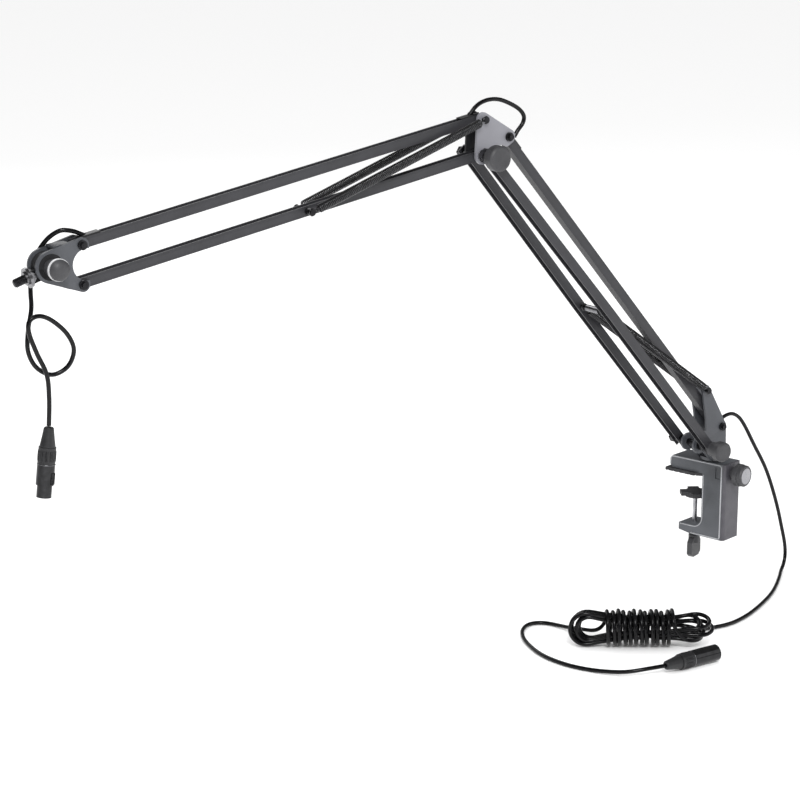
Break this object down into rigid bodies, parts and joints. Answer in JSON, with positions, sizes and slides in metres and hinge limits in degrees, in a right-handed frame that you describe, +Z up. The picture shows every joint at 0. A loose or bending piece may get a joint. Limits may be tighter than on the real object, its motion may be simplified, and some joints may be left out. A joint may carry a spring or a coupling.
{
  "type": "microphone desk arm",
  "caption": "Spring-balanced two-stage desk arm for a microphone, with a table clamp, tilting threaded stud and a built-in cable with connectors.",
  "frame": {"origin": "underside of the upper jaw's pad, on the clamp screw's axis, where the desk's top surface touches it", "axes": "+Z up, +Y from the clamp's column to its jaw tip, arm pointing to -X and turned 14 degrees about the swivel"},
  "size_m": [1.0325, 0.4011, 0.639],
  "materials": {
    "casting": "powder coat",
    "cover": "satin",
    "bar_paint": "powder coat",
    "bracket_paint": "satin",
    "elbow_paint": "satin",
    "pad": "matt",
    "knob": "fine texture",
    "knob_cap": "satin",
    "bearing": "smooth",
    "steel": "zinc plated",
    "black_steel": "black oxide",
    "spring_steel": "black coated wire",
    "clip": "satin",
    "cable": "satin",
    "plug_rubber": "matt",
    "plug_shell": "black chrome",
    "plug_insert": "moulded"
  },
  "bodies": {
    "clamp": {"clamp_body": "casting", "clamp_back_cover": "cover", "jaw_pad": "pad", "swivel_bush": "bearing"},
    "press_pad": {"pressure_pad": "pad"},
    "screw": {"clamp_spindle": "steel", "wing_handle": "knob"},
    "lock": {"lock_screw": "steel", "lock_knob": "knob", "lock_knob_cap": "knob_cap"},
    "swivel": {"swivel_post": "steel", "swivel_washer": "pad", "base_bracket": "bracket_paint", "base_spring_pin": "black_steel", "base_link_pin": "black_steel", "base_axle": "black_steel", "base_spacers": "black_steel", "lead_cord": "cable", "lead_hank": "cable", "lead_tail": "cable", "male_boot": "plug_rubber", "male_bushing": "plug_rubber", "male_shell": "plug_shell", "male_insert": "plug_insert"},
    "base_knob_body": {"base_knob": "knob"},
    "lower_arm": {"far_bar": "bar_paint", "near_bar": "bar_paint", "cross_pin": "black_steel", "cross_sleeve": "steel", "lower_springs": "spring_steel"},
    "link": {"link_bar": "bar_paint", "link_bar_clip": "clip"},
    "elbow": {"elbow_bracket": "elbow_paint", "elbow_axle": "black_steel", "elbow_washers": "steel", "elbow_upper_pin": "black_steel", "elbow_link_pin": "black_steel", "elbow_cable": "cable"},
    "elbow_knob_body": {"elbow_knob": "knob"},
    "forearm_lower": {"forearm_lower_bar": "bar_paint", "spring_anchor_pin": "black_steel", "forearm_springs": "spring_steel"},
    "forearm_upper": {"forearm_upper_bar": "bar_paint", "upper_bar_clips": "clip", "channel_cables": "cable"},
    "head": {"head_bracket": "bracket_paint", "head_upper_pin": "black_steel", "head_lower_pin": "black_steel", "head_bolt": "steel", "mic_cord": "cable", "female_boot": "plug_rubber", "female_bushing": "plug_rubber", "female_shell": "plug_shell", "female_insert": "plug_insert"},
    "head_knob_body": {"head_knob": "knob"},
    "tilt": {"tilt_block": "steel", "thread_stud": "black_steel"}
  },
  "joints": [
    {"name": "screw_travel", "type": "slide", "parent": "clamp", "child": "press_pad", "axis": [0, 0, 1], "range_m": [-0.03, 0.005]},
    {"name": "screw_turn", "type": "hinge", "parent": "press_pad", "child": "screw", "pos_m": [0, 0, -0.06], "axis": [0, 0, 1], "range_deg": [-10805, 1805]},
    {"name": "lock_turn", "type": "hinge", "parent": "clamp", "child": "lock", "pos_m": [0, -0.06, 0.0065], "axis": [0, -1, 0], "range_deg": [0, 360]},
    {"name": "swivel", "type": "hinge", "parent": "clamp", "child": "swivel", "pos_m": [0, -0.025, 0.02], "axis": [0, 0, 1], "range_deg": [-175, 175]},
    {"name": "base_knob_turn", "type": "hinge", "parent": "swivel", "child": "base_knob_body", "pos_m": [-0.03299, -0.01678, 0.046], "axis": [-0.2419, -0.9703, 0], "range_deg": [0, 360]},
    {"name": "shoulder", "type": "hinge", "parent": "swivel", "child": "lower_arm", "pos_m": [-0.03299, -0.01678, 0.046], "axis": [0.2419, 0.9703, 0], "range_deg": [-38, 34], "deforming": ["lower_springs"]},
    {"name": "link_pivot", "type": "hinge", "parent": "swivel", "child": "link", "pos_m": [0.00137, -0.02534, 0.06459], "axis": [0.2419, 0.9703, 0], "range_deg": [-38, 34]},
    {"name": "elbow_level", "type": "hinge", "parent": "lower_arm", "child": "elbow", "pos_m": [-0.35894, 0.06449, 0.42973], "axis": [0.2419, 0.9703, 0], "range_deg": [-34, 38]},
    {"name": "elbow_knob_turn", "type": "hinge", "parent": "elbow", "child": "elbow_knob_body", "pos_m": [-0.35894, 0.06449, 0.42973], "axis": [-0.2419, -0.9703, 0], "range_deg": [0, 360]},
    {"name": "elbow_pivot", "type": "hinge", "parent": "elbow", "child": "forearm_lower", "pos_m": [-0.35894, 0.06449, 0.42973], "axis": [0.2419, 0.9703, 0], "range_deg": [-45, 50], "deforming": ["forearm_springs", "elbow_cable"]},
    {"name": "upper_bar_pivot", "type": "hinge", "parent": "elbow", "child": "forearm_upper", "pos_m": [-0.35894, 0.06449, 0.46973], "axis": [0.2419, 0.9703, 0], "range_deg": [-45, 50]},
    {"name": "head_level", "type": "hinge", "parent": "forearm_lower", "child": "head", "pos_m": [-0.83581, 0.18339, 0.33776], "axis": [0.2419, 0.9703, 0], "range_deg": [-50, 45]},
    {"name": "head_tilt", "type": "hinge", "parent": "head", "child": "tilt", "pos_m": [-0.8688, 0.19162, 0.35876], "axis": [0.2419, 0.9703, 0], "range_deg": [-45, 45]},
    {"name": "head_knob_turn", "type": "hinge", "parent": "head", "child": "head_knob_body", "pos_m": [-0.8688, 0.19162, 0.35876], "axis": [-0.2419, -0.9703, 0], "range_deg": [0, 360]}
  ],
  "couplings": [
    {"joint": "screw_turn", "follows": "screw_travel", "rad_per_m": 6283.2},
    {"joint": "link_pivot", "follows": "shoulder", "ratio": 1},
    {"joint": "elbow_level", "follows": "shoulder", "ratio": -1},
    {"joint": "upper_bar_pivot", "follows": "elbow_pivot", "ratio": 1},
    {"joint": "head_level", "follows": "elbow_pivot", "ratio": -1}
  ]
}
